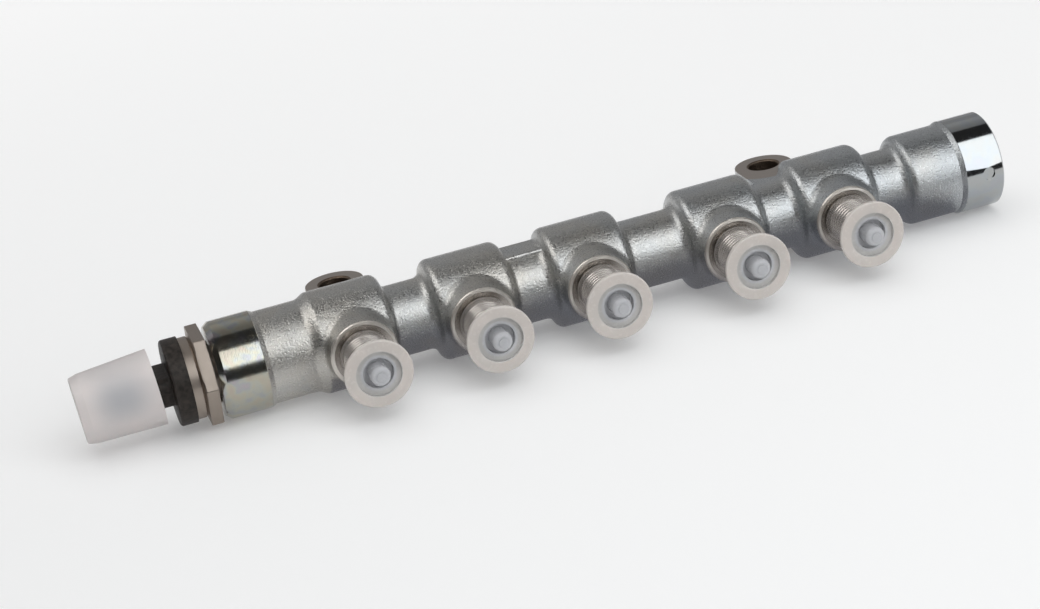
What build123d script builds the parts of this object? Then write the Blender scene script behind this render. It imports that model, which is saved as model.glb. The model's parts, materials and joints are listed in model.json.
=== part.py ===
"""Forged high-pressure fuel rail with five side ports, a pressure sensor and transport caps.

Millimetres. The origin is midway between the two mounting holes, on the plane that the
lugs seat on. +X runs along the rail from the sensor end to the blind end, the ports point
along -Y, and +Z is up, along the mounting holes.
"""

import os
from math import cos, radians, sin, tan

from build123d import *

# Mounting lugs
hole_spacing = 142.0
hole_radius = 4.7
hole_edge_chamfer = 0.5
lug_offset = 17.0  # from the rail's axis back to the mounting holes
lug_height = 22.0
lug_radius = 9.6  # at the parting plane, where the forging is widest
lug_draft = 3.0
lug_fillet = 1.2  # on the sides that face the rail's ends
spot_face_radius = 12.6

# Spine of the forging
rail_length = 252.7
sensor_end_reach = 114.5  # from the origin to the sensor end face
end_band_radius = 15.0
sensor_band_length = 14.0
sensor_band_chamfer = 1.7
sensor_band_chamfer_drop = 1.3
blind_band_length = 12.7
blind_band_chamfer = 0.5
band_step = 1.5
sensor_shoulder_radius = 14.2
blind_shoulder_radius = 14.3
blind_shoulder_length = 15.4
blind_shoulder_lead_in = 1.8
neck_radius = 11.1
middle_neck_radius = 11.8
crest_rounding = 2.6
root_rounding = 2.9  # on the flanks that face the sensor end
heel_rounding = 1.9  # on the flanks that face the blind end

# Side ports, one collar each
first_port_x = -72.0
port_pitch = 37.0
middle_pitch = 44.0  # between the third and the fourth port
collar_radius = 15.7
collar_front = 11.0  # from a port's axis to its collar's sensor side
collar_front_draft = 1.6
collar_back = 12.3  # from a port's axis to its collar's blind side
collar_back_draft = 0.9
first_collar_front = 10.8
first_collar_lead_in = 2.8
first_collar_back = 11.1
boss_radius = 10.4
boss_foot_radius = 11.6
boss_root = 8.0  # from the rail's axis to the boss's buried foot
boss_reach = 19.7  # from the rail's axis to the machined port face
boss_fillet = 2.6
boss_chamfer = 0.4
face_recess_radius = 8.15
face_recess_depth = 0.6

# Port studs
stud_thread_radius = 7.0
stud_thread_pitch = 1.5
stud_length = 13.4
stud_end_chamfer = 0.9
relief_length = 1.6
relief_radius = 5.9
seat_mouth_radius = 4.0
seat_half_angle = 30.0
passage_radius = 1.5
throttle_radius = 0.6
throttle_length = 2.5

# Fuel gallery, marking pad and index hole
gallery_radius = 5.0
gallery_end_wall = 14.0
drill_half_angle = 59.0
pad_half_width = 5.4
pad_height = 12.0  # above the rail's axis
pad_rounding = 0.8
index_hole_radius = 2.0
index_hole_depth = 0.5
index_hole_inset = 5.2  # from the blind end face

# Threaded port for the sensor
sensor_thread_radius = 9.0
sensor_hole_chamfer = 0.8
sensor_hole_depth = 14.0
sensor_pilot_radius = 7.6
sensor_pilot_depth = 17.0

# Sensor housing
thread_clearance = 0.1
shank_end_gap = 0.6
shank_end_chamfer = 0.8
nose_clearance = 0.2
seat_clearance = 0.1
nose_tip_radius = 5.8
shank_relief_radius = 8.0
shank_relief_depth = 1.2  # below the rail's end face
hex_gap = 1.1  # between the rail's end face and the hexagon
hex_across_flats = 27.0
hex_corner_radius = 15.3
hex_thickness = 3.7
hex_chamfer = 0.75
hex_chamfer_drop = 1.3
spigot_radius = 11.0
spigot_length = 3.5
cavity_radius = 8.2
cavity_floor = 1.4  # above the hexagon's rail side
board_pocket_radius = 9.0
board_pocket_depth = 1.3
pedestal_radius = 4.5
pedestal_height = 1.5

# Sensor sleeve, measuring element and electronics
sleeve_radius = 12.5
sleeve_clearance = 0.05
sleeve_groove_width = 0.8
sleeve_groove_depth = 0.5
element_radius = 3.4
element_height = 2.4
element_bore_radius = 2.4
diaphragm_thickness = 0.5
element_flange_radius = 4.4
element_flange_height = 0.7
board_thickness = 1.0
board_clearance = 0.1
chip_length = 4.2
chip_width = 3.4
chip_height = 0.9
chip_offset = 4.4

# Connector
disc_radius = 13.2
disc_thickness = 5.2
disc_rounding = 0.8
disc_roof = 1.6
chamber_radius = 8.8
socket_width = 18.0
socket_height = 9.0
socket_corner = 3.0
socket_length = 21.0
socket_wall = 1.3
socket_floor = 3.0
socket_root_fillet = 0.6
seal_radius = 10.2
seal_section_radius = 0.75
seal_clearance = 0.05
carrier_thickness = 1.4
carrier_clearance = 0.1
terminal_count = 3
terminal_spacing = 4.6
terminal_width = 2.2
terminal_thickness = 0.8
terminal_reach = 9.0  # beyond the socket's floor
terminal_tail = 0.6  # below the contact carrier
terminal_tip_chamfer = 0.25
slot_clearance = 0.05
spring_strip = 0.3
spring_width = 1.4
spring_foot = 2.2
spring_bend = 0.6

# Sensor transport cap, which sits a little crooked
sensor_cap_length = 24.0
sensor_cap_rim_radius = 11.7
sensor_cap_end_radius = 10.6
sensor_cap_wall = 1.3
sensor_cap_end_wall = 1.8
sensor_cap_bevel_length = 2.7
sensor_cap_bevel_drop = 0.7
sensor_cap_rounding = 0.5
sensor_cap_gap = 4.0  # from the connector's disc to the cap's rim
sensor_cap_lift = 0.35
sensor_cap_tilt = 2.4

# Port transport caps
flange_radius = 10.25
flange_thickness = 1.4
flange_rounding = 0.4
cap_step_radius = 6.8
cap_step_depth = 1.1
cap_plate = 1.2
cap_well_radius = 4.6
cap_well_depth = 3.3
cap_floor = 1.0
cap_wall = 0.7
cap_thread_clearance = 0.1
cap_sleeve_start = 0.8  # from the port face to the sleeve's open rim
cap_stud_gap = 0.1
button_radius = 3.0
button_rise = 1.4  # above the flange
crown_height = 1.2
nub_radius = 1.35
nub_height = 0.3

# Places worked out from the sizes above
axis_y = -lug_offset
axis_z = lug_height / 2
sensor_face_x = -sensor_end_reach
blind_face_x = sensor_face_x + rail_length
hole_places = [-hole_spacing / 2, hole_spacing / 2]
fourth_port_x = first_port_x + 2 * port_pitch + middle_pitch
port_places = [first_port_x + port_pitch * step for step in range(3)]
port_places += [fourth_port_x + port_pitch * step for step in range(2)]
rail_axis = Axis((0, axis_y, axis_z), (1, 0, 0))
rail_plane = Plane(origin=(0, axis_y, axis_z), x_dir=(1, 0, 0), z_dir=(0, -1, 0))
sensor_plane = Plane(origin=(sensor_face_x, axis_y, axis_z), x_dir=(-1, 0, 0), z_dir=(0, 1, 0))
stud_body_radius = stud_thread_radius - 0.325 * stud_thread_pitch
seat_slope = tan(radians(seat_half_angle))
gallery_start_x = (
    sensor_face_x + sensor_pilot_depth + (sensor_pilot_radius - gallery_radius) / seat_slope
)
gallery_end_x = blind_face_x - gallery_end_wall

# Distances outward from the sensor end face, along -X
hex_end = hex_gap + hex_thickness
spigot_end = hex_end + spigot_length
board_seat = spigot_end - board_pocket_depth
board_top = board_seat + board_thickness
disc_end = spigot_end + disc_thickness
chamber_roof = disc_end - disc_roof
carrier_base = chamber_roof - carrier_thickness
terminal_start = carrier_base - terminal_tail
socket_bottom = disc_end + socket_floor
socket_end = disc_end + socket_length
cavity_start = hex_gap + cavity_floor
pedestal_top = cavity_start + pedestal_height
sensor_cap_rim = disc_end + sensor_cap_gap
terminal_places = [
    terminal_spacing * (index - (terminal_count - 1) / 2) for index in range(terminal_count)
]

# Distances outward from the rail's axis, along a port
stud_tip = boss_reach + stud_length
cap_floor_top = stud_tip + cap_stud_gap + cap_floor
cap_face = cap_floor_top + cap_well_depth


def port_plane(x):
    """Sketch plane through a port's axis: local x runs outward and local y is the radius."""
    return Plane(origin=(x, axis_y, axis_z), x_dir=(0, -1, 0), z_dir=(0, 0, 1))


def hole_plane(x):
    """Sketch plane through a mounting hole: local x runs up and local y is the radius."""
    return Plane(origin=(x, 0, 0), x_dir=(0, 0, 1), z_dir=(0, 1, 0))


def port_axis(x):
    return Axis((x, axis_y, axis_z), (0, -1, 0))


def sensor_station(distance):
    """Plane across the rail's axis: local x is +Y and the normal points outward, to -X."""
    origin = (sensor_face_x - distance, axis_y, axis_z)
    return Plane(origin=origin, x_dir=(0, 1, 0), z_dir=(-1, 0, 0))


def half_section(plane, points):
    """Flat face with the given corners, to be revolved about one of its sides."""
    with BuildSketch(plane) as section:
        with BuildLine():
            Polyline(*points, close=True)
        make_face()
    return section.sketch


def corners_at(sketch, places):
    """The sketch's vertices at the given places."""
    return [
        vertex
        for vertex in sketch.vertices()
        if any(abs(vertex.X - x) + abs(vertex.Y - y) < 0.001 for x, y in places)
    ]


def save(piece, name):
    piece.label = name
    export_step(piece, f"parts/{name}.step")


def spine_outline():
    """Half profile of the spine, with the corners that the forging rounds."""
    points = [
        (sensor_face_x, 0),
        (sensor_face_x, end_band_radius - sensor_band_chamfer_drop),
        (sensor_face_x + sensor_band_chamfer, end_band_radius),
        (sensor_face_x + sensor_band_length, end_band_radius),
        (sensor_face_x + sensor_band_length + band_step, sensor_shoulder_radius),
    ]
    crests = []
    roots = []
    heels = []
    for index, x in enumerate(port_places):
        before = middle_neck_radius if index == 2 else neck_radius
        after = middle_neck_radius if index == 1 else neck_radius
        front = collar_front
        lead_in = collar_front_draft
        back = collar_back
        if index == 0:
            before = sensor_shoulder_radius
            front = first_collar_front
            lead_in = first_collar_lead_in
            back = first_collar_back
        foot = (x - front - lead_in, before)
        crest_start = (x - front, collar_radius)
        crest_end = (x + back, collar_radius)
        heel = (x + back + collar_back_draft, after)
        points += [foot, crest_start, crest_end, heel]
        crests += [crest_start, crest_end]
        roots.append(foot)
        heels.append(heel)
    shoulder_end = blind_face_x - blind_band_length - band_step
    shoulder_start = shoulder_end - blind_shoulder_length
    shoulder_foot = (shoulder_start - blind_shoulder_lead_in, neck_radius)
    points += [
        shoulder_foot,
        (shoulder_start, blind_shoulder_radius),
        (shoulder_end, blind_shoulder_radius),
        (shoulder_end + band_step, end_band_radius),
        (blind_face_x - blind_band_chamfer, end_band_radius),
        (blind_face_x, end_band_radius - blind_band_chamfer),
        (blind_face_x, 0),
    ]
    crests.append((shoulder_start, blind_shoulder_radius))
    roots.append(shoulder_foot)
    return points, crests, roots, heels


def boss_outline():
    return [
        (boss_root, 0),
        (boss_root, boss_foot_radius),
        (boss_reach - boss_chamfer, boss_radius),
        (boss_reach, boss_radius - boss_chamfer),
        (boss_reach, 0),
    ]


def face_recess_outline():
    return [
        (boss_reach - face_recess_depth, 0),
        (boss_reach - face_recess_depth, face_recess_radius),
        (boss_reach, face_recess_radius),
        (boss_reach, 0),
    ]


def stud_outline():
    """Stud with a thread relief at its foot; the thread's ridges stand proud of it."""
    recess_floor = boss_reach - face_recess_depth
    relief_end = recess_floor + relief_length
    return [
        (recess_floor - relief_length, 0),
        (recess_floor - relief_length, relief_radius),
        (relief_end, relief_radius),
        (relief_end + stud_body_radius - relief_radius, stud_body_radius),
        (stud_tip - stud_end_chamfer, stud_body_radius),
        (stud_tip, stud_body_radius - stud_end_chamfer),
        (stud_tip, 0),
    ]


def passage_outline():
    """Sealing cone, fuel passage and throttle of one port, down into the gallery."""
    throttle_end = gallery_radius + throttle_length
    return [
        (stud_tip, 0),
        (stud_tip, seat_mouth_radius),
        (stud_tip - (seat_mouth_radius - passage_radius) / seat_slope, passage_radius),
        (throttle_end, passage_radius),
        (throttle_end - passage_radius + throttle_radius, throttle_radius),
        (gallery_radius / 2, throttle_radius),
        (gallery_radius / 2, 0),
    ]


def hole_outline():
    wide = hole_radius + hole_edge_chamfer
    return [
        (0, 0),
        (0, wide),
        (hole_edge_chamfer, hole_radius),
        (lug_height - hole_edge_chamfer, hole_radius),
        (lug_height, wide),
        (lug_height, 0),
    ]


def gallery_outline():
    """Threaded sensor port, its conical seat and the blind fuel gallery."""
    return [
        (sensor_face_x, 0),
        (sensor_face_x, sensor_thread_radius + sensor_hole_chamfer),
        (sensor_face_x + sensor_hole_chamfer, sensor_thread_radius),
        (sensor_face_x + sensor_hole_depth, sensor_thread_radius),
        (sensor_face_x + sensor_hole_depth, sensor_pilot_radius),
        (sensor_face_x + sensor_pilot_depth, sensor_pilot_radius),
        (gallery_start_x, gallery_radius),
        (gallery_end_x - gallery_radius / tan(radians(drill_half_angle)), gallery_radius),
        (gallery_end_x, 0),
    ]


def make_rail_body():
    """The forging, with its machined bands, port studs, gallery and mounting holes."""
    points, crests, roots, heels = spine_outline()
    pad_start = port_places[1] + collar_back
    pad_end = port_places[2] - collar_front
    pad_plane = Plane(origin=(pad_start, axis_y, axis_z), x_dir=(0, 1, 0), z_dir=(1, 0, 0))
    index_origin = (blind_face_x - index_hole_inset, axis_y - end_band_radius, axis_z)
    index_plane = Plane(origin=index_origin, x_dir=(1, 0, 0), z_dir=(0, -1, 0))
    with BuildPart() as rail:
        with BuildSketch(rail_plane) as spine:
            with BuildLine():
                Polyline(*points, close=True)
            make_face()
            fillet(corners_at(spine, crests), crest_rounding)
            fillet(corners_at(spine, roots), root_rounding)
            fillet(corners_at(spine, heels), heel_rounding)
        revolve(axis=rail_axis)

        # Lugs, drafted both ways from the parting plane and blended on their outer sides
        with BuildSketch(Plane.XY.offset(axis_z)):
            with Locations(*[(x, 0) for x in hole_places]):
                Circle(lug_radius)
            with Locations(*[(x, axis_y / 2) for x in hole_places]):
                Rectangle(2 * lug_radius, lug_offset)
        extrude(amount=lug_height / 2, both=True, taper=lug_draft)
        lug_sides = [
            edge
            for edge in rail.edges(Select.NEW)
            if edge.bounding_box().size.Z > lug_height / 4
            and abs(edge.center().X) > hole_spacing / 2
        ]
        fillet(lug_sides, lug_fillet)

        # Port bosses, blended into their collars
        for x in port_places:
            revolve(half_section(port_plane(x), boss_outline()), axis=port_axis(x))
            boss_foot = [
                edge for edge in rail.edges(Select.NEW) if edge.bounding_box().size.Y > boss_fillet
            ]
            fillet(boss_foot, boss_fillet)

        # Flat marking pad on the neck between the second and the third collar
        with BuildSketch(pad_plane) as pad:
            Rectangle(2 * pad_half_width, pad_height, align=(Align.CENTER, Align.MIN))
            fillet(pad.vertices().group_by(Axis.Y)[-1], pad_rounding)
        extrude(amount=pad_end - pad_start)

        # Spot faces above and below the lugs, and the mounting holes
        for face_z, reach in ((lug_height, collar_radius), (0, -collar_radius)):
            with BuildSketch(Plane.XY.offset(face_z)):
                with Locations(*[(x, 0) for x in hole_places]):
                    Circle(spot_face_radius)
            extrude(amount=reach, mode=Mode.SUBTRACT)
        for x in hole_places:
            section = half_section(hole_plane(x), hole_outline())
            revolve(section, axis=Axis((x, 0, 0), (0, 0, 1)), mode=Mode.SUBTRACT)

        # Gallery, port studs and their fuel passages
        revolve(
            half_section(rail_plane, gallery_outline()), axis=rail_axis, mode=Mode.SUBTRACT
        )
        for x in port_places:
            section = half_section(port_plane(x), face_recess_outline())
            revolve(section, axis=port_axis(x), mode=Mode.SUBTRACT)
            revolve(half_section(port_plane(x), stud_outline()), axis=port_axis(x))
            section = half_section(port_plane(x), passage_outline())
            revolve(section, axis=port_axis(x), mode=Mode.SUBTRACT)

        # Index hole near the blind end, on the ports' side
        with BuildSketch(index_plane):
            Circle(index_hole_radius)
        extrude(amount=-index_hole_depth, mode=Mode.SUBTRACT)
    return rail.part


def make_sensor_housing():
    """Steel body screwed into the rail, with its nose on the conical seat."""
    nose_radius = sensor_pilot_radius - nose_clearance
    nose_edge = sensor_pilot_depth + nose_clearance / seat_slope
    nose_tip = nose_edge + (nose_radius - nose_tip_radius) / seat_slope
    shank_end = sensor_hole_depth - shank_end_gap
    shank_radius = sensor_thread_radius - thread_clearance
    hex_face_radius = hex_corner_radius - hex_chamfer_drop
    points = [
        (seat_clearance - nose_tip, passage_radius),
        (seat_clearance - nose_tip, nose_tip_radius),
        (seat_clearance - nose_edge, nose_radius),
        (-shank_end, nose_radius),
        (-shank_end, shank_radius - shank_end_chamfer),
        (shank_end_chamfer - shank_end, shank_radius),
        (-shank_relief_depth, shank_radius),
        (-shank_relief_depth, shank_relief_radius),
        (hex_gap, shank_relief_radius),
        (hex_gap, hex_face_radius),
        (hex_gap + hex_chamfer, hex_corner_radius),
        (hex_end - hex_chamfer, hex_corner_radius),
        (hex_end, hex_face_radius),
        (hex_end, spigot_radius),
        (spigot_end, spigot_radius),
        (spigot_end, board_pocket_radius),
        (board_seat, board_pocket_radius),
        (board_seat, cavity_radius),
        (cavity_start, cavity_radius),
        (cavity_start, pedestal_radius),
        (pedestal_top, pedestal_radius),
        (pedestal_top, passage_radius),
    ]
    with BuildPart() as housing:
        revolve(half_section(sensor_plane, points), axis=rail_axis)
        with BuildSketch(sensor_station(hex_gap)):
            Circle(2 * hex_corner_radius)
            RegularPolygon(hex_across_flats / 2, 6, major_radius=False, mode=Mode.SUBTRACT)
        extrude(amount=hex_thickness, mode=Mode.SUBTRACT)
    return housing.part


def make_sensor_sleeve():
    """Turned ring pressed over the housing's spigot, with a groove beside the hexagon."""
    bore = spigot_radius + sleeve_clearance
    points = [
        (hex_end, bore),
        (hex_end, sleeve_radius),
        (hex_end + sleeve_groove_width / 2, sleeve_radius - sleeve_groove_depth),
        (hex_end + sleeve_groove_width, sleeve_radius),
        (spigot_end, sleeve_radius),
        (spigot_end, bore),
    ]
    with BuildPart() as sleeve:
        revolve(half_section(sensor_plane, points), axis=rail_axis)
    return sleeve.part


def make_sensor_element():
    """Steel cup with the thin diaphragm that the fuel's pressure bends."""
    top = pedestal_top + element_height
    points = [
        (pedestal_top, element_bore_radius),
        (pedestal_top, element_flange_radius),
        (pedestal_top + element_flange_height, element_flange_radius),
        (pedestal_top + element_flange_height, element_radius),
        (top, element_radius),
        (top, 0),
        (top - diaphragm_thickness, 0),
        (top - diaphragm_thickness, element_bore_radius),
    ]
    with BuildPart() as element:
        revolve(half_section(sensor_plane, points), axis=rail_axis)
    return element.part


def make_circuit_board():
    with BuildPart() as board:
        with BuildSketch(sensor_station(board_seat)):
            Circle(board_pocket_radius - board_clearance)
        extrude(amount=board_thickness)
    return board.part


def make_signal_chip():
    with BuildPart() as chip:
        with BuildSketch(sensor_station(board_top)):
            with Locations((0, chip_offset)):
                Rectangle(chip_length, chip_width)
        extrude(amount=chip_height)
    return chip.part


def make_contact_spring(place):
    """Bent leaf strip between the circuit board and one terminal's tail."""
    low = board_top + spring_strip / 2
    high = terminal_start - spring_strip / 2
    path = [
        (low, spring_foot / 2),
        (low, -spring_foot / 2),
        (high, -spring_foot / 2),
        (high, spring_foot / 3),
    ]
    with BuildPart() as spring:
        with BuildSketch(sensor_plane.offset(place)):
            with BuildLine() as strip:
                FilletPolyline(*path, radius=spring_bend)
            trace(strip.line, line_width=spring_strip)
        extrude(amount=spring_width / 2, both=True)
    return spring.part


def make_terminal(place):
    """Flat blade that runs through the contact carrier and the socket's floor."""
    tip = socket_bottom + terminal_reach
    with BuildPart() as terminal:
        with BuildSketch(sensor_plane.offset(place)) as side:
            with Locations(((terminal_start + tip) / 2, 0)):
                Rectangle(tip - terminal_start, terminal_thickness)
            chamfer(side.vertices().group_by(Axis.X)[-1], terminal_tip_chamfer)
        extrude(amount=terminal_width / 2, both=True)
    return terminal.part


def terminal_slots(distance):
    """The terminals' slots, drawn across the rail's axis."""
    with BuildSketch(sensor_station(distance)) as slots:
        with Locations(*[(place, 0) for place in terminal_places]):
            Rectangle(terminal_width + 2 * slot_clearance, terminal_thickness + 2 * slot_clearance)
    return slots.sketch


def make_contact_carrier():
    with BuildPart() as carrier:
        with BuildSketch(sensor_station(carrier_base)):
            Circle(chamber_radius - carrier_clearance)
        extrude(amount=carrier_thickness)
        extrude(terminal_slots(carrier_base), amount=carrier_thickness, mode=Mode.SUBTRACT)
    return carrier.part


def make_connector_housing():
    """Moulded disc with the electronics' chamber, and the three-pin socket on it."""
    groove_inner = seal_radius - seal_section_radius - seal_clearance
    groove_outer = seal_radius + seal_section_radius + seal_clearance
    groove_depth = 2 * seal_section_radius + seal_clearance
    with BuildPart() as connector:
        with BuildSketch(sensor_station(spigot_end)):
            Circle(disc_radius)
        extrude(amount=disc_thickness)
        fillet(connector.edges().group_by(Axis.X)[0], disc_rounding)
        with BuildSketch(sensor_station(disc_end)):
            RectangleRounded(socket_width, socket_height, socket_corner)
        extrude(amount=socket_length)
        socket_root = connector.faces().filter_by(Axis.X).group_by(Axis.X)[1].edges()
        fillet(socket_root.group_by(SortBy.DISTANCE)[0], socket_root_fillet)
        with BuildSketch(sensor_station(socket_bottom)):
            RectangleRounded(
                socket_width - 2 * socket_wall,
                socket_height - 2 * socket_wall,
                socket_corner - socket_wall,
            )
        extrude(amount=socket_end - socket_bottom, mode=Mode.SUBTRACT)
        with BuildSketch(sensor_station(spigot_end)):
            Circle(chamber_radius)
        extrude(amount=chamber_roof - spigot_end, mode=Mode.SUBTRACT)
        with BuildSketch(sensor_station(spigot_end)):
            Circle(groove_outer)
            Circle(groove_inner, mode=Mode.SUBTRACT)
        extrude(amount=groove_depth, mode=Mode.SUBTRACT)
        slot_length = socket_bottom - chamber_roof
        extrude(terminal_slots(chamber_roof), amount=slot_length, mode=Mode.SUBTRACT)
    return connector.part


def make_connector_seal():
    with BuildPart() as seal:
        with BuildSketch(sensor_plane):
            with Locations((spigot_end + seal_section_radius, seal_radius)):
                Circle(seal_section_radius)
        revolve(axis=rail_axis)
    return seal.part


def make_sensor_cap():
    """Tapered thin-walled cup pushed over the socket, its closed end a little low."""
    tilt = radians(sensor_cap_tilt)
    taper = (sensor_cap_rim_radius - sensor_cap_end_radius) / sensor_cap_length
    bevel_start = sensor_cap_length - sensor_cap_bevel_length
    inner_end = sensor_cap_length - sensor_cap_end_wall
    bevel_radius = sensor_cap_rim_radius - taper * bevel_start
    inner_radius = sensor_cap_rim_radius - sensor_cap_wall
    cap_origin = (sensor_face_x - sensor_cap_rim, axis_y, axis_z + sensor_cap_lift)
    cap_direction = (-cos(tilt), 0, -sin(tilt))
    cap_plane = Plane(origin=cap_origin, x_dir=cap_direction, z_dir=(0, 1, 0))
    closed_edge = (sensor_cap_length, bevel_radius - sensor_cap_bevel_drop)
    points = [
        (0, inner_radius),
        (0, sensor_cap_rim_radius),
        (bevel_start, bevel_radius),
        closed_edge,
        (sensor_cap_length, 0),
        (inner_end, 0),
        (inner_end, inner_radius - taper * inner_end),
    ]
    with BuildPart() as cap:
        with BuildSketch(cap_plane) as section:
            with BuildLine():
                Polyline(*points, close=True)
            make_face()
            fillet(corners_at(section, [closed_edge, points[-1]]), sensor_cap_rounding)
        revolve(axis=Axis(cap_origin, cap_direction))
    return cap.part


def make_port_cap(x):
    """Thin moulded cap: sleeve over the stud, flange, sunken centre and a domed button."""
    sleeve_bore = stud_thread_radius + cap_thread_clearance
    sleeve_outside = sleeve_bore + cap_wall
    sleeve_rim = boss_reach + cap_sleeve_start
    step_floor = cap_face - cap_step_depth
    button_top = cap_face + button_rise
    flange_edges = [(cap_face, flange_radius), (cap_face - flange_thickness, flange_radius)]
    with BuildPart() as cap:
        with BuildSketch(port_plane(x)) as section:
            with BuildLine():
                Polyline(
                    (button_top + crown_height, nub_radius),
                    (button_top + crown_height + nub_height, nub_radius),
                    (button_top + crown_height + nub_height, 0),
                    (cap_floor_top - cap_floor, 0),
                    (cap_floor_top - cap_floor, cap_well_radius + cap_wall),
                    (step_floor - cap_plate, cap_well_radius + cap_wall),
                    (step_floor - cap_plate, sleeve_bore),
                    (sleeve_rim, sleeve_bore),
                    (sleeve_rim, sleeve_outside),
                    (cap_face - flange_thickness, sleeve_outside),
                    (cap_face - flange_thickness, flange_radius),
                    (cap_face, flange_radius),
                    (cap_face, cap_step_radius),
                    (step_floor, cap_step_radius),
                    (step_floor, cap_well_radius),
                    (cap_floor_top, cap_well_radius),
                    (cap_floor_top, button_radius),
                    (button_top, button_radius),
                )
                TangentArc(
                    (button_top, button_radius),
                    (button_top + crown_height, nub_radius),
                    tangent=(1, 0),
                )
            make_face()
            fillet(corners_at(section, flange_edges), flange_rounding)
        revolve(axis=port_axis(x))
    return cap.part


os.makedirs("parts", exist_ok=True)
save(make_rail_body(), "rail_body")
save(make_sensor_housing(), "sensor_housing")
save(make_sensor_sleeve(), "sensor_sleeve")
save(make_sensor_element(), "sensor_element")
save(make_circuit_board(), "circuit_board")
save(make_signal_chip(), "signal_chip")
save(make_contact_carrier(), "contact_carrier")
for number, place in enumerate(terminal_places, start=1):
    save(make_contact_spring(place), f"contact_spring_{number}")
    save(make_terminal(place), f"terminal_{number}")
save(make_connector_housing(), "connector_housing")
save(make_connector_seal(), "connector_seal")
save(make_sensor_cap(), "sensor_cap")
for number, x in enumerate(port_places, start=1):
    save(make_port_cap(x), f"port_cap_{number}")
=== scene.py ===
"""Looks of a forged high-pressure fuel rail with its pressure sensor and transport caps.

Metres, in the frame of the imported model: +X from the sensor end to the blind end, the ports
towards -Y, +Z up, and the origin midway between the mounting holes on the seating plane.
"""

import json
import math

import bmesh
import bpy
from mathutils import Matrix, Vector


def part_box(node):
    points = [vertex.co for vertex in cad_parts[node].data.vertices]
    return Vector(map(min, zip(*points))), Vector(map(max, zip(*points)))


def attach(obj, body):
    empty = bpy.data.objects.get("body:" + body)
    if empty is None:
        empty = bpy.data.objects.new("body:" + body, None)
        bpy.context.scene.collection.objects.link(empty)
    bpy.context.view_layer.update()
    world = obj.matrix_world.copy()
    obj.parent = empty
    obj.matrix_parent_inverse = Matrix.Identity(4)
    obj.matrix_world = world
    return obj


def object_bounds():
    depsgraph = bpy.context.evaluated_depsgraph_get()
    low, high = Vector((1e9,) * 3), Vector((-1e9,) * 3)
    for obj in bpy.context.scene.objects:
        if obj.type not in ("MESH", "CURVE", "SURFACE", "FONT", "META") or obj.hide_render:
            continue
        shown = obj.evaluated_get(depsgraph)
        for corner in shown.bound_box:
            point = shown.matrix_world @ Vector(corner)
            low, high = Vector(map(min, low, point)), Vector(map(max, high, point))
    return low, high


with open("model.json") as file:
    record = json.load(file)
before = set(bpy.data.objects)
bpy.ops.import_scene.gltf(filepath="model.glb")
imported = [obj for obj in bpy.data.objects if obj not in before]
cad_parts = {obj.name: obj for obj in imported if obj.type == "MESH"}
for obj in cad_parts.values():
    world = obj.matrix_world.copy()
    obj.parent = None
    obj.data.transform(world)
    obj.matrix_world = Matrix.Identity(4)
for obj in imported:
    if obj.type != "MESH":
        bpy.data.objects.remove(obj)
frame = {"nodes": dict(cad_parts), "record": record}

MM = 0.001
cad_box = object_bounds()

# Camera, fitted to the photograph's frame of 1040 by 609
camera_place = (-0.177217, -0.715259, 0.282017)
camera_azimuth = 12.766
camera_pitch = -21.137
camera_roll = -10.977
camera_lens = 86.894
sensor_width = 36.0
camera_clip = (0.01, 50.0)

# Floor, with what is added to it where the camera or a reflection meets it
floor_size = 12.0
floor_colour = (0.85, 0.85, 0.85)
floor_rough = 0.9
floor_specular = 0.1
floor_near = -0.25  # in Y
floor_far = 0.6
floor_lift_near = 0.105
floor_lift_far = 0.3

# Sky: sine of the height of the view above level, and how bright it is there
world_levels = ((0.0, 0.68), (0.36, 0.42), (0.7, 0.42), (0.95, 0.2))

# Lights. Directions are azimuth from -Y towards +X and elevation, in degrees
light_distance = 1.2
softbox_corners = (((-6, 22), (38, -9)), ((-4, 59), (62, 56)))
softbox_colour = (0.97, 0.99, 1.0)
softbox_strength = 2.3
side_light_azimuths = range(-130, -24, 15)
side_light_elevations = (43, 58, 72)
side_light_colour = (1.0, 0.99, 0.97)
side_light_strength = 2.3
overhead_size = 3.0
overhead_power = 28.0
overhead_place = (-0.2, 0.3, 2.4)
fill_size = 1.2
fill_power = 1.6
fill_place = (-0.1, -1.1, 0.8)

# Flags: dark panels that only reflections see
flag_distance = 1.45
flag_colour = (0.03, 0.03, 0.03)
front_flag_azimuths = range(-70, 91, 20)
front_flag_elevations = (-4, 15, 35, 50, 62)
left_flag_azimuths = range(-120, -57, 15)
left_flag_elevations = (-4, 12, 25, 38)
back_flag_azimuths = range(105, 226, 20)
back_flag_elevations = (-4, 12, 34)
back_flag_colour = (0.34, 0.34, 0.345)
canopy_half_width = 3.0
canopy_front = -3.0
canopy_backs = (-0.44, 0.88)  # Y of its back edge at the left and at the right
canopy_height = 1.5
low_flag_half_length = 0.3
low_flag_y = -0.08
low_flag_bottoms = (0.0065, -0.0047)  # Z at the left and at the right
low_flag_tops = (0.040, 0.005)
# Under flag: painted shade, a grey sheet on the floor under the rail that only reflections see
under_flag_x = (-0.083, 0.125)
under_flag_y = (-0.062, 0.005)
under_flag_z = -0.0045
under_flag_colour = (0.2, 0.2, 0.22)

# Places read from the frame
mounts = {mount["name"]: mount for mount in frame["record"]["mounts"]}
hole_spacing = mounts["mounting_holes"]["dims"]["spacing_x_mm"] * MM
hole_radius = mounts["mounting_holes"]["dims"]["hole_r_mm"] * MM
port_xs = [mounts[f"port_{number}"]["pos_m"][0] for number in range(1, 6)]
stud_tip_y = mounts["port_1"]["pos_m"][1]
sleeve_low, sleeve_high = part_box("sensor_sleeve")
rail_axis = Vector((0, (sleeve_low[1] + sleeve_high[1]) / 2, (sleeve_low[2] + sleeve_high[2]) / 2))
rail_low, rail_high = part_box("rail_body")
lug_height = 2 * rail_axis.z

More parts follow.
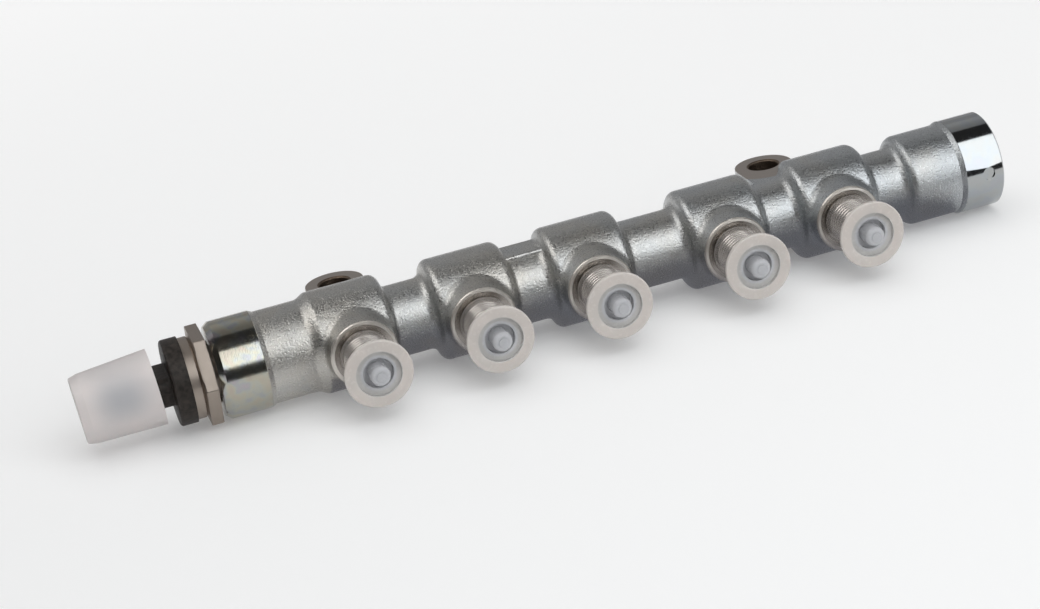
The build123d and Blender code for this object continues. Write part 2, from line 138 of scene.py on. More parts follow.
# Where the forging is machined. Each margin lets the finish start a little behind its face
mask_soft = 0.08 * MM
sensor_band_length = 14.0 * MM
blind_band_length = 12.7 * MM
port_face_reach = 19.7 * MM
port_face_margin = 0.35 * MM
port_recess_margin = 0.75 * MM
port_recess_radius = 8.35 * MM
port_edge_start = 9.2 * MM
port_edge_end = 10.4 * MM
port_edge_soft = 0.1 * MM
spot_face_radius = 12.65 * MM
spot_face_margin = 0.12 * MM
hole_chamfer = 0.55 * MM

# Range that the values of a noise texture seldom leave
noise_low = 0.3
noise_high = 0.7

# Forged steel: colours, roughness, and heights as shares of its relief
forged_grey = (0.50, 0.52, 0.535)
forged_warm = (0.54, 0.52, 0.485)
warm_run = (1.15, -0.1)  # share of the warm grey at the sensor end and the blind end
warm_clouds = (-0.5, 0.5)
forged_patch = (0.40, 0.41, 0.42)
patch_strength = 0.3
band_grey = (0.41, 0.425, 0.44)
band_warm = (0.445, 0.43, 0.40)
band_drift = 1500.0  # how fast the turned lines change round the bands
sensor_band_film = 0.5
blind_band_film = 0.16
film_colours = (
    (0.0, (1.0, 0.84, 0.70)),
    (0.3, (1.0, 0.96, 0.74)),
    (0.5, (0.92, 1.0, 0.92)),
    (0.7, (0.72, 0.84, 1.0)),
    (1.0, (0.88, 0.78, 1.0)),
)
port_face_light = (0.48, 0.44, 0.40)
port_face_dark = (0.38, 0.36, 0.34)
# Painted highlight: a lighter colour on the ports' outer edge, where its bumped chamfer catches
# light
port_edge_painted_highlight = (0.74, 0.70, 0.65)
spot_face_light = (0.46, 0.40, 0.35)
spot_face_dark = (0.37, 0.33, 0.30)
hole_colour = (0.17, 0.13, 0.10)
# Painted shade in the studs' thread roots and painted highlight on their crests
thread_root_painted_shade = (0.36, 0.335, 0.31)
thread_crest_painted_highlight = (0.80, 0.76, 0.72)
forged_rough = (0.24, 0.36)
band_rough = (0.08, 0.13)
sensor_band_dulling = 0.05
port_face_rough = 0.24
port_edge_rough = 0.36
spot_face_rough = 0.30
hole_rough = 0.45
forged_relief = 0.2 * MM
wave_share = 0.7
sensor_band_share = 0.11
blind_band_share = 0.03
face_line_share = 0.05
port_edge_drop = -1.4

# The other metals and mouldings
sensor_steel_light = (0.40, 0.345, 0.30)
sensor_steel_dark = (0.32, 0.275, 0.24)
sensor_steel_rough = (0.34, 0.44)
sensor_steel_relief = 0.012 * MM
plain_metal_relief = 0.01 * MM
plain_metal_spread = 0.05
plain_metal_shade = 0.75
moulding_specular = 0.24
moulding_mottle = (0.35, 0.68)  # noise where the mottling begins and where it is full
moulding_smoother = 0.06
moulding_rougher = 0.08
broad_share = 2.0  # of the broad unevenness, for one of the fine grain
milky_ior = 1.45
milky_relief = 0.05 * MM

# Port caps. How much of what lies behind is covered counts for one wall
cap_flange_reach = 36.0 * MM  # from the rail's axis to the flange's inner side
cap_flange_margin = 0.4 * MM
cap_flange_soft = 0.15 * MM
cap_step_radius = 6.8 * MM
cap_step_margin = 0.1 * MM
cap_step_soft = 0.2 * MM
cap_well_radius = 4.9 * MM
cap_well_margin = 0.5 * MM
cap_well_soft = 0.4 * MM
cap_button_radius = 2.9 * MM
cap_button_ring = 0.12 * MM
cap_nub_radius = 1.25 * MM
cap_nub_ring = 0.16 * MM
cap_ring_soft = 0.12 * MM
cap_milk_light = (0.65, 0.60, 0.565)
cap_milk_dark = (0.60, 0.565, 0.535)
# Painted shade of the stud behind: darker grey on the flange's middle step, bluish grey in the well
cap_step_painted_shade = (0.53, 0.52, 0.505)
cap_well_painted_shade = (0.55, 0.555, 0.575)
cap_rough = (0.2, 0.3)
cap_sleeve_cover = 0.17
cap_flange_cover = 0.84
cap_middle_cover = 0.8
cap_highlight_ring_cover = 0.85
cap_subsurface = 0.7
cap_subsurface_depth = 2.0 * MM

# Sensor cap, with a painted shadow of the connector's socket in it
sensor_cap_light = (0.89, 0.83, 0.815)
sensor_cap_dark = (0.85, 0.81, 0.80)
sensor_cap_rough = (0.36, 0.46)
sensor_cap_transmission = 0.4
socket_shadow_colour = (0.60, 0.605, 0.63)
socket_shadow_strength = 0.9
socket_middle_x = -143.0 * MM
socket_half_length = 6.0 * MM
socket_soft_x = 5.0 * MM
socket_middle_z = 14.5 * MM
socket_half_height = 5.0 * MM
socket_soft_z = 4.5 * MM

# Hexagon of the sensor, from the rail's end face
hex_sides = 6
hex_gap = 1.1 * MM
hex_thickness = 3.7 * MM
hex_half_width = 13.5 * MM  # across flats
hex_edge_break = 0.3 * MM
hex_cover = 0.03 * MM  # how far it lies outside the solid one
hex_hole_radius = 13.2 * MM

# Threads of the port studs
thread_pitch = 1.5 * MM
thread_crest_radius = 6.98 * MM
thread_root_radius = 6.45 * MM
thread_start = 21.2 * MM  # from the rail's axis
thread_end_gap = 2.4 * MM  # from the stud's tip, clear of its chamfer
thread_foot_share = 0.47  # half of the ridge's foot, as a share of the pitch
thread_tip_share = 0.09
thread_steps = 72  # in one turn
stud_mask_radius = 7.2 * MM
stud_mask_soft = 0.05 * MM
thread_shade_margin = 0.1 * MM  # the painted root shade and the painted crest highlight begin this far in


def rgba(colour):
    return tuple(colour[:3]) + (1,)


def new_group(name, inputs, outputs):
    """Shader node group with its sockets made, and its group input and output nodes."""
    tree = bpy.data.node_groups.new(name, "ShaderNodeTree")
    kinds = {"value": "NodeSocketFloat", "colour": "NodeSocketColor", "vector": "NodeSocketVector"}
    for label, kind, value in inputs:
        socket = tree.interface.new_socket(name=label, in_out="INPUT", socket_type=kinds[kind])
        socket.default_value = value
    for label, kind in outputs:
        tree.interface.new_socket(name=label, in_out="OUTPUT", socket_type=kinds[kind])
    entry = tree.nodes.new("NodeGroupInput")
    leave = tree.nodes.new("NodeGroupOutput")
    return tree, entry, leave


class Wiring:
    """Short calls that add nodes to one tree and join them."""

    def __init__(self, tree):
        self.tree = tree

    def node(self, kind, **settings):
        made = self.tree.nodes.new(kind)
        for name, value in settings.items():
            setattr(made, name, value)
        return made

    def join(self, source, target):
        self.tree.links.new(source, target)

    def feed(self, socket, value):
        """Join the value where it is a socket, or else set it on the socket itself."""
        if isinstance(value, bpy.types.NodeSocket):
            self.join(value, socket)
        elif socket.type == "RGBA":
            socket.default_value = rgba(value)
        else:
            socket.default_value = value

    def math(self, operation, first, second=0.0, third=0.0, clamp=False):
        made = self.node("ShaderNodeMath", operation=operation, use_clamp=clamp)
        for socket, value in zip(made.inputs, (first, second, third)):
            self.feed(socket, value)
        return made.outputs[0]

    def mix_colour(self, amount, first, second, blend="MIX"):
        made = self.node("ShaderNodeMix", data_type="RGBA", blend_type=blend)
        self.feed(made.inputs["Factor"], amount)
        colours = [socket for socket in made.inputs if socket.type == "RGBA"]
        self.feed(colours[0], first)
        self.feed(colours[1], second)
        return [socket for socket in made.outputs if socket.type == "RGBA"][0]

    def mix_value(self, amount, first, second):
        made = self.node("ShaderNodeMix", data_type="FLOAT")
        values = [socket for socket in made.inputs if socket.type == "VALUE"]
        for socket, value in zip(values, (amount, first, second)):
            self.feed(socket, value)
        return made.outputs[0]

    def noise(self, vector, scale, detail=3.0, roughness=0.5, distortion=0.0):
        made = self.node("ShaderNodeTexNoise")
        self.feed(made.inputs["Vector"], vector)
        self.feed(made.inputs["Scale"], scale)
        self.feed(made.inputs["Detail"], detail)
        self.feed(made.inputs["Roughness"], roughness)
        self.feed(made.inputs["Distortion"], distortion)
        return made.outputs[0]

    def ramp(self, value, stops):
        """Colour ramp with these positions and colours, in rising order."""
        made = self.node("ShaderNodeValToRGB")
        elements = made.color_ramp.elements
        while len(elements) < len(stops):
            elements.new(0.5)
        for element, (position, colour) in zip(elements, stops):
            element.position = position
            element.color = rgba(colour)
        self.join(value, made.inputs[0])
        return made.outputs[0]

    def map_range(self, value, low, high, new_low, new_high, kind="LINEAR"):
        made = self.node("ShaderNodeMapRange", interpolation_type=kind)
        for socket, number in zip(made.inputs, (value, low, high, new_low, new_high)):
            self.feed(socket, number)
        return made.outputs[0]

    def spread(self, noise, low, high):
        """Noise with its usual range stretched to this one."""
        return self.map_range(noise, noise_low, noise_high, low, high)

    def by_end(self, x, at_sensor, at_blind):
        """One value over the sensor's half of the rail and another over the blind half."""
        return self.map_range(x, 0.0, 1.0 * MM, at_sensor, at_blind)

    def object_place(self):
        """Object coordinates, whole and as x, y and z."""
        place = self.node("ShaderNodeTexCoord").outputs["Object"]
        return (place, *self.separate(place))

    def separate(self, vector):
        made = self.node("ShaderNodeSeparateXYZ")
        self.join(vector, made.inputs[0])
        return made.outputs

    def combine(self, x, y, z):
        made = self.node("ShaderNodeCombineXYZ")
        for socket, value in zip(made.inputs, (x, y, z)):
            self.feed(socket, value)
        return made.outputs[0]

    def distance(self, first, second):
        """Length of the vector with these two sides."""
        squares = self.math("MULTIPLY_ADD", first, first, self.math("MULTIPLY", second, second))
        return self.math("SQRT", squares)

    def near(self, value, centre, reach, soft):
        """One where value is within reach of the centre, with a soft edge."""
        away = self.math("ABSOLUTE", self.math("SUBTRACT", value, centre))
        return self.map_range(away, reach - soft, reach + soft, 1.0, 0.0, "SMOOTHSTEP")

    def above(self, value, edge, soft):
        """One where value is over the edge, which is soft."""
        return self.map_range(value, edge - soft, edge + soft, 0.0, 1.0, "SMOOTHSTEP")

    def group(self, tree, **inputs):
        made = self.node("ShaderNodeGroup", node_tree=tree)
        for name, value in inputs.items():
            self.feed(made.inputs[name], value)
        return made.outputs


def grain_group():
    """Fine orange-peel grain over broad, shallow unevenness."""
    tree, entry, leave = new_group(
        "Surface grain",
        [("Place", "vector", (0, 0, 0)), ("Grain", "value", 1500.0), ("Waves", "value", 160.0)],
        [("Fine", "value"), ("Broad", "value")],
    )
    wires = Wiring(tree)
    place = entry.outputs["Place"]
    fine = wires.noise(place, entry.outputs["Grain"], roughness=0.6)
    broad = wires.noise(place, entry.outputs["Waves"], distortion=0.3)
    wires.join(fine, leave.inputs["Fine"])
    wires.join(broad, leave.inputs["Broad"])
    return tree


def turned_group():
    """Lathe lines along a station, with a slow run of shades between them."""
    tree, entry, leave = new_group(
        "Turned lines",
        [("Station", "value", 0.0), ("Around", "value", 0.0), ("Lines", "value", 3200.0)],
        [("Height", "value"), ("Shade", "value")],
    )
    wires = Wiring(tree)
    station = entry.outputs["Station"]
    drift_share = 0.4
    slow_lines = 420.0
    drift = wires.math("MULTIPLY", entry.outputs["Around"], drift_share)
    lines_at = wires.math("MULTIPLY", station, entry.outputs["Lines"])
    slow_at = wires.math("MULTIPLY", station, slow_lines)
    lines = wires.noise(wires.combine(lines_at, drift, 0.0), 1.0, roughness=0.6)
    slow = wires.noise(wires.combine(slow_at, drift, 3.0), 1.0, detail=2.0)
    wires.join(lines, leave.inputs["Height"])
    wires.join(slow, leave.inputs["Shade"])
    return tree


def tint_group():
    """Faint run of colours, as thin plating or polished turning shows it."""
    tree, entry, leave = new_group(
        "Film tint",
        [("Run", "value", 0.0), ("Strength", "value", 0.1), ("Base", "colour", (0.5, 0.5, 0.5, 1))],
        [("Colour", "colour")],
    )
    wires = Wiring(tree)
    base = entry.outputs["Base"]
    film = wires.ramp(entry.outputs["Run"], film_colours)
    tinted = wires.mix_colour(1.0, base, film, "MULTIPLY")
    mixed = wires.mix_colour(entry.outputs["Strength"], base, tinted)
    wires.join(mixed, leave.inputs["Colour"])
    return tree


grain = grain_group()
turned = turned_group()
film_tint = tint_group()


def new_material(name):
    """Material with its wiring and its Principled shader."""
    material = bpy.data.materials.new(name)
    material.use_nodes = True
    wires = Wiring(material.node_tree)
    shader = material.node_tree.nodes["Principled BSDF"]
    return material, wires, shader


def bump(wires, shader, height, distance):
    made = wires.node("ShaderNodeBump")
    made.inputs["Strength"].default_value = 1.0
    made.inputs["Distance"].default_value = distance
    wires.join(height, made.inputs["Height"])
    wires.join(made.outputs["Normal"], shader.inputs["Normal"])


def distance_from_ports(wires, x, z):
    """Distance to the axis of the nearest port."""
    from_port = None
    for port_x in port_xs:
        away = wires.math("ABSOLUTE", wires.math("SUBTRACT", x, port_x))
        from_port = away if from_port is None else wires.math("MINIMUM", from_port, away)
    return wires.distance(from_port, wires.math("SUBTRACT", z, rail_axis.z))


def band_mask(wires, x):
    """The turned bands at both ends of the rail."""
    sensor_edge = rail_low.x + sensor_band_length
    blind_edge = rail_high.x - blind_band_length
    sensor_band = wires.math("SUBTRACT", 1.0, wires.above(x, sensor_edge, mask_soft))
    return wires.math("ADD", sensor_band, wires.above(x, blind_edge, mask_soft))


def port_mask(wires, y, port_distance):
    """The ports' faces, their recesses and their studs."""
    reach = wires.math("SUBTRACT", rail_axis.y, y)
    on_face = wires.above(reach, port_face_reach - port_face_margin, mask_soft)
    in_recess = wires.math(
        "MULTIPLY",
        wires.above(reach, port_face_reach - port_recess_margin, mask_soft),
        wires.near(port_distance, 0.0, port_recess_radius, mask_soft),
    )
    return wires.math("MAXIMUM", on_face, in_recess)


def spot_face_mask(wires, z, hole_distance):
    """The lugs' faces above and below, round the mounting holes."""
    off_middle = wires.math("ABSOLUTE", wires.math("SUBTRACT", z, rail_axis.z))
    return wires.math(
        "MULTIPLY",
        wires.near(hole_distance, 0.0, spot_face_radius, mask_soft),
        wires.above(off_middle, lug_height / 2 - spot_face_margin, mask_soft),
    )


def forged_steel_material():
    """Plated forging with turned bands, faced ports and threads, and spot-faced lugs."""
    material, wires, shader = new_material("forged steel")
    place, x, y, z = wires.object_place()
    port_distance = distance_from_ports(wires, x, z)
    from_hole = wires.math("SUBTRACT", wires.math("ABSOLUTE", x), hole_spacing / 2)
    hole_distance = wires.distance(from_hole, y)
    bands = band_mask(wires, x)
    ports = port_mask(wires, y, port_distance)
    spots = spot_face_mask(wires, z, hole_distance)
    holes = wires.near(hole_distance, 0.0, hole_radius + hole_chamfer, mask_soft)
    on_edge = wires.above(port_distance, port_edge_start, port_edge_soft)
    on_stud = wires.near(port_distance, 0.0, stud_mask_radius, stud_mask_soft)

    skin = wires.group(grain, Place=place, Grain=1700.0, Waves=230.0)
    clouds = wires.group(grain, Place=place, Grain=2200.0, Waves=60.0)
    around = wires.math("MULTIPLY", z, band_drift)
    along = wires.group(turned, Station=x, Around=around, Lines=2600.0)
    rings = wires.group(turned, Station=hole_distance, Around=0.0, Lines=2600.0)
    faces = wires.group(turned, Station=port_distance, Around=0.0, Lines=3000.0)

    warm = wires.map_range(x, rail_low.x, rail_high.x, *warm_run)
    warm = wires.math("ADD", warm, wires.spread(clouds["Broad"], *warm_clouds), clamp=True)
    colour = wires.mix_colour(warm, forged_grey, forged_warm)
    patches = wires.spread(skin["Broad"], 0.0, patch_strength)
    colour = wires.mix_colour(patches, colour, forged_patch)
    band_colour = wires.group(
        film_tint,
        Run=wires.spread(skin["Broad"], 0.0, 1.0),
        Strength=wires.by_end(x, sensor_band_film, blind_band_film),
        Base=wires.mix_colour(warm, band_grey, band_warm),
    )["Colour"]
    # Painted light on the studs: shade in the thread roots, highlight on the crests
    on_crest = wires.map_range(
        port_distance,
        thread_root_radius + thread_shade_margin,
        thread_crest_radius - thread_shade_margin,
        0.0,
        1.0,
    )
    stud_painted_light = wires.mix_colour(on_crest, thread_root_painted_shade, thread_crest_painted_highlight)
    port_colour = wires.mix_colour(faces["Shade"], port_face_light, port_face_dark)
    # Painted highlight on the ports' outer edge
    port_colour = wires.mix_colour(on_edge, port_colour, port_edge_painted_highlight)
    port_colour = wires.mix_colour(on_stud, port_colour, stud_painted_light)
    spot_colour = wires.mix_colour(rings["Shade"], spot_face_light, spot_face_dark)
    colour = wires.mix_colour(bands, colour, band_colour)
    colour = wires.mix_colour(ports, colour, port_colour)
    colour = wires.mix_colour(spots, colour, spot_colour)
    colour = wires.mix_colour(holes, colour, hole_colour)
    wires.join(colour, shader.inputs["Base Color"])

    turned_rough = wires.math(
        "ADD",
        wires.spread(along["Shade"], *band_rough),
        wires.by_end(x, sensor_band_dulling, 0.0),
    )
    port_rough = wires.mix_value(on_edge, port_face_rough, port_edge_rough)
    rough = wires.spread(skin["Fine"], *forged_rough)
    rough = wires.mix_value(bands, rough, turned_rough)
    rough = wires.mix_value(ports, rough, port_rough)
    rough = wires.mix_value(spots, rough, spot_face_rough)
    rough = wires.mix_value(holes, rough, hole_rough)
    wires.join(rough, shader.inputs["Roughness"])

    band_share = wires.by_end(x, sensor_band_share, blind_band_share)
    band_height = wires.math("MULTIPLY", along["Height"], band_share)
    edge = wires.map_range(port_distance, port_edge_start, port_edge_end, 0.0, 1.0)
    drop = wires.math("MULTIPLY", edge, port_edge_drop)
    face_height = wires.math("MULTIPLY_ADD", faces["Height"], face_line_share, drop)
    face_height = wires.math("ADD", face_height, wires.math("MULTIPLY", edge, skin["Fine"]))
    spot_height = wires.math("MULTIPLY", rings["Height"], face_line_share)
    height = wires.math("MULTIPLY_ADD", skin["Broad"], wave_share, skin["Fine"])
    height = wires.mix_value(bands, height, band_height)
    height = wires.mix_value(ports, height, face_height)
    height = wires.mix_value(spots, height, spot_height)
    bump(wires, shader, height, forged_relief)
    shader.inputs["Metallic"].default_value = 1.0
    return material


def sensor_steel_material():
    """Brownish turned steel of the sensor."""
    material, wires, shader = new_material("sensor steel")
    place, x, _, z = wires.object_place()
    lines = wires.group(turned, Station=x, Around=z, Lines=3600.0)
    skin = wires.group(grain, Place=place, Grain=900.0, Waves=220.0)
    colour = wires.mix_colour(lines["Shade"], sensor_steel_light, sensor_steel_dark)
    wires.join(colour, shader.inputs["Base Color"])
    rough = wires.spread(skin["Broad"], *sensor_steel_rough)
    wires.join(rough, shader.inputs["Roughness"])
    height = wires.math("MULTIPLY_ADD", skin["Broad"], broad_share, lines["Height"])
    bump(wires, shader, height, sensor_steel_relief)
    shader.inputs["Metallic"].default_value = 1.0
    return material


def plain_metal_material(name, colour, rough):
    """Even metal with slight clouds."""
    material, wires, shader = new_material(name)
    place = wires.object_place()[0]
    skin = wires.group(grain, Place=place, Grain=1200.0, Waves=260.0)
    darker = tuple(plain_metal_shade * part for part in colour)
    clouded = wires.mix_colour(wires.spread(skin["Broad"], 0.0, 1.0), colour, darker)
    wires.join(clouded, shader.inputs["Base Color"])
    roughness = wires.spread(
        skin["Fine"], rough - plain_metal_spread, rough + plain_metal_spread
    )
    wires.join(roughness, shader.inputs["Roughness"])
    bump(wires, shader, skin["Fine"], plain_metal_relief)
    shader.inputs["Metallic"].default_value = 1.0
    return material


def moulded_material(name, colour, mottled, rough, relief=0.02 * MM, waves=170.0):
    """Opaque moulded plastic or rubber with slight mottling."""
    material, wires, shader = new_material(name)
    place = wires.object_place()[0]
    skin = wires.group(grain, Place=place, Grain=1100.0, Waves=waves)
    mottling = wires.map_range(skin["Broad"], *moulding_mottle, 0.0, 1.0)
    wires.join(wires.mix_colour(mottling, colour, mottled), shader.inputs["Base Color"])
    roughness = wires.spread(
        skin["Broad"], rough - moulding_smoother, rough + moulding_rougher
    )
    wires.join(roughness, shader.inputs["Roughness"])
    height = wires.math("MULTIPLY_ADD", skin["Broad"], broad_share, skin["Fine"])
    bump(wires, shader, height, relief)
    shader.inputs["Specular IOR Level"].default_value = moulding_specular
    return material


def port_cap_material():
    """Milky plastic, nearly opaque at the flange and see-through where thin; painted light in its
    middle.
    """
    material, wires, shader = new_material("port cap plastic")
    place, x, y, z = wires.object_place()
    skin = wires.group(grain, Place=place, Grain=700.0, Waves=160.0)
    port_distance = distance_from_ports(wires, x, z)
    reach = wires.math("SUBTRACT", rail_axis.y, y)
    on_flange = wires.above(reach, cap_flange_reach - cap_flange_margin, cap_flange_soft)
    inside = wires.near(
        port_distance, 0.0, cap_step_radius + cap_step_margin, cap_step_soft
    )
    on_step = wires.math("MULTIPLY", on_flange, inside)
    in_well = wires.near(
        port_distance, 0.0, cap_well_radius + cap_well_margin, cap_well_soft
    )
    # Painted highlight: rings at the edges of the nub and the button, more opaque so they show pale
    rings = wires.math(
        "MAXIMUM",
        wires.near(port_distance, cap_nub_radius, cap_nub_ring, cap_ring_soft),
        wires.near(port_distance, cap_button_radius, cap_button_ring, cap_ring_soft),
    )

    milk = wires.mix_colour(wires.spread(skin["Broad"], 0.0, 1.0), cap_milk_light, cap_milk_dark)
    # Painted shade of the stud behind, on the middle step and in the well
    milk = wires.mix_colour(on_step, milk, cap_step_painted_shade)
    milk = wires.mix_colour(in_well, milk, cap_well_painted_shade)
    wires.join(milk, shader.inputs["Base Color"])
    cover = wires.mix_value(on_flange, cap_sleeve_cover, cap_flange_cover)
    cover = wires.mix_value(on_step, cover, cap_middle_cover)
    cover = wires.mix_value(in_well, cover, cap_middle_cover)
    cover = wires.math("MAXIMUM", cover, wires.math("MULTIPLY", rings, cap_highlight_ring_cover))
    wires.join(cover, shader.inputs["Alpha"])
    wires.join(wires.spread(skin["Fine"], *cap_rough), shader.inputs["Roughness"])
    bump(wires, shader, skin["Broad"], milky_relief)
    shader.inputs["IOR"].default_value = milky_ior
    shader.inputs["Subsurface Weight"].default_value = cap_subsurface
    shader.inputs["Subsurface Scale"].default_value = cap_subsurface_depth
    shader.inputs["Subsurface Radius"].default_value = (1, 1, 1)
    return material


def sensor_cap_material():
    """Milky moulded plastic with a painted soft bluish shadow of the socket inside it."""
    material, wires, shader = new_material("sensor cap plastic")
    place, x, _, z = wires.object_place()
    skin = wires.group(grain, Place=place, Grain=700.0, Waves=120.0)
    # Painted shadow: bluish grey where the socket lies close inside the wall
    beside = wires.near(x, socket_middle_x, socket_half_length, socket_soft_x)
    level = wires.near(z, socket_middle_z, socket_half_height, socket_soft_z)
    shadow = wires.math("MULTIPLY", wires.math("MULTIPLY", beside, level), socket_shadow_strength)
    clouds = wires.spread(skin["Broad"], 0.0, 1.0)
    milk = wires.mix_colour(clouds, sensor_cap_light, sensor_cap_dark)
    milk = wires.mix_colour(shadow, milk, socket_shadow_colour)
    wires.join(milk, shader.inputs["Base Color"])
    wires.join(wires.spread(skin["Fine"], *sensor_cap_rough), shader.inputs["Roughness"])
    bump(wires, shader, skin["Broad"], milky_relief)
    shader.inputs["IOR"].default_value = milky_ior
    shader.inputs["Transmission Weight"].default_value = sensor_cap_transmission
    return material


materials = {
    "forged_steel": forged_steel_material(),
    "sensor_steel": sensor_steel_material(),
    "machined_steel": plain_metal_material(
        "machined steel", colour=(0.55, 0.55, 0.54), rough=0.25
    ),
    "contact_brass": plain_metal_material(
        "contact brass", colour=(0.72, 0.53, 0.27), rough=0.28
    ),
    "black_moulding": moulded_material(
        "black moulding",
        colour=(0.013, 0.0105, 0.0085),
        mottled=(0.034, 0.027, 0.023),
        rough=0.48,
        relief=0.05 * MM,
        waves=650.0,
    ),
    "circuit_board": moulded_material(
        "circuit board", colour=(0.03, 0.16, 0.07), mottled=(0.04, 0.2, 0.1), rough=0.4
    ),
    "seal_rubber": moulded_material(
        "seal rubber", colour=(0.03, 0.03, 0.03), mottled=(0.05, 0.045, 0.04), rough=0.6
    ),
    "sensor_cap_plastic": sensor_cap_material(),
    "port_cap_plastic": port_cap_material(),
}
for piece in frame["nodes"].values():
    slot = piece.data.materials[0].name
    piece.data.materials[0] = materials[slot]


def add_object(name, data):
    made = bpy.data.objects.new(name, data)
    bpy.context.scene.collection.objects.link(made)
    return made


def ridge_profile(wires, pitch, crest):
    """Section of a thread ridge. Its X points to the stud's axis and its Y along it."""
    profile = wires.node("GeometryNodeCurvePrimitiveQuadrilateral", mode="POINTS")
    foot = wires.math("MULTIPLY", pitch, thread_foot_share)
    tip = wires.math("MULTIPLY", pitch, thread_tip_share)
    outward = wires.math("MULTIPLY", crest, -1.0)
    corners = (
        (0.0, foot),
        (outward, tip),
        (outward, wires.math("MULTIPLY", tip, -1.0)),
        (0.0, wires.math("MULTIPLY", foot, -1.0)),
    )
    for socket, (inward, across) in zip(profile.inputs[-4:], corners):
        wires.join(wires.combine(inward, across, 0.0), socket)
    return profile.outputs["Curve"]


def thread_tree():
    """Geometry nodes that wind one thread ridge per point along -Y."""
    tree = bpy.data.node_groups.new("Stud threads", "GeometryNodeTree")
    face = tree.interface
    face.new_socket(name="Places", in_out="INPUT", socket_type="NodeSocketGeometry")
    for label, kind in (
        ("Pitch", "NodeSocketFloat"),
        ("Length", "NodeSocketFloat"),
        ("Root radius", "NodeSocketFloat"),
        ("Crest height", "NodeSocketFloat"),
        ("Steps a turn", "NodeSocketInt"),
        ("Finish", "NodeSocketMaterial"),
    ):
        face.new_socket(name=label, in_out="INPUT", socket_type=kind)
    face.new_socket(name="Threads", in_out="OUTPUT", socket_type="NodeSocketGeometry")
    wires = Wiring(tree)
    entry = tree.nodes.new("NodeGroupInput")
    leave = tree.nodes.new("NodeGroupOutput")
    pitch = entry.outputs["Pitch"]
    root_radius = entry.outputs["Root radius"]
    length = entry.outputs["Length"]

    spiral = wires.node("GeometryNodeCurveSpiral")
    wires.join(entry.outputs["Steps a turn"], spiral.inputs["Resolution"])
    wires.join(wires.math("DIVIDE", length, pitch), spiral.inputs["Rotations"])
    wires.join(root_radius, spiral.inputs["Start Radius"])
    wires.join(root_radius, spiral.inputs["End Radius"])
    wires.join(length, spiral.inputs["Height"])
    upright = wires.node("GeometryNodeSetCurveNormal", mode="Z_UP")
    wires.join(spiral.outputs["Curve"], upright.inputs["Curve"])

    ridge = wires.node("GeometryNodeCurveToMesh")
    profile = ridge_profile(wires, pitch, entry.outputs["Crest height"])
    wires.join(upright.outputs["Curve"], ridge.inputs["Curve"])
    wires.join(profile, ridge.inputs["Profile Curve"])
    ridge.inputs["Fill Caps"].default_value = True

    place = wires.node("GeometryNodeInstanceOnPoints")
    wires.join(entry.outputs["Places"], place.inputs["Points"])
    wires.join(ridge.outputs["Mesh"], place.inputs["Instance"])
    place.inputs["Rotation"].default_value = (math.radians(90), 0, 0)
    real = wires.node("GeometryNodeRealizeInstances")
    wires.join(place.outputs["Instances"], real.inputs["Geometry"])
    coat = wires.node("GeometryNodeSetMaterial")
    wires.join(real.outputs["Geometry"], coat.inputs["Geometry"])
    wires.join(entry.outputs["Finish"], coat.inputs["Material"])
    wires.join(coat.outputs["Geometry"], leave.inputs["Threads"])
    return tree


def make_threads():
    """Thread ridges on the five port studs, as one plain mesh."""
    starts = bpy.data.meshes.new("thread starts")
    start_y = rail_axis.y - thread_start
    starts.from_pydata([(x, start_y, rail_axis.z) for x in port_xs], [], [])
    holder = add_object("thread holder", starts)
    modifier = holder.modifiers.new("threads", "NODES")
    modifier.node_group = thread_tree()
    values = {
        "Pitch": thread_pitch,
        "Length": start_y - (stud_tip_y + thread_end_gap),
        "Root radius": thread_root_radius,
        "Crest height": thread_crest_radius - thread_root_radius,
        "Steps a turn": thread_steps,
        "Finish": materials["forged_steel"],
    }
    for item in modifier.node_group.interface.items_tree:
        if item.name in values:
            modifier[item.identifier] = values[item.name]
    bpy.context.view_layer.update()
    depsgraph = bpy.context.evaluated_depsgraph_get()
    mesh = bpy.data.meshes.new_from_object(holder.evaluated_get(depsgraph))
    bpy.data.objects.remove(holder)
    return add_object("stud_threads", mesh)


threads = make_threads()
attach(threads, "root")


def make_hexagon():
    """Hexagon with crisp edges, as a thin cover over the turned one of the solids."""
    near_x = rail_low.x - hex_gap + hex_cover
    far_x = rail_low.x - hex_gap - hex_thickness - hex_cover
    corner_radius = (hex_half_width + hex_cover) / math.cos(math.pi / hex_sides)
    section = (
        (near_x, hex_hole_radius),
        (near_x, corner_radius),
        (far_x, corner_radius),
        (far_x, hex_hole_radius),
    )
    turns = [math.tau * corner / hex_sides for corner in range(hex_sides)]
    shape = bmesh.new()
    rings = []
    for x, radius in section:
        places = [Vector((x, radius * math.cos(turn), radius * math.sin(turn))) for turn in turns]
        rings.append([shape.verts.new(rail_axis + place) for place in places])
    for first, second in zip(rings, rings[1:]):
        for corner in range(hex_sides):
            after = (corner + 1) % hex_sides
            shape.faces.new((first[corner], second[corner], second[after], first[after]))
    outer = set(rings[1] + rings[2])
    outer_edges = [edge for edge in shape.edges if outer.issuperset(edge.verts)]
    bmesh.ops.bevel(
        shape, geom=outer_edges, offset=hex_edge_break, segments=2, affect="EDGES", profile=0.5
    )
    bmesh.ops.recalc_face_normals(shape, faces=shape.faces)
    mesh = bpy.data.meshes.new("sensor hexagon")
    shape.to_mesh(mesh)
    shape.free()
    mesh.materials.append(materials["sensor_steel"])
    return add_object("sensor_hexagon", mesh)


hexagon = make_hexagon()
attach(hexagon, "root")


def direction(azimuth, elevation):
    """Unit vector: azimuth in degrees from -Y towards +X, elevation up from the floor."""
    azimuth, elevation = math.radians(azimuth), math.radians(elevation)
    flat = math.cos(elevation)
    return Vector((flat * math.sin(azimuth), -flat * math.cos(azimuth), math.sin(elevation)))


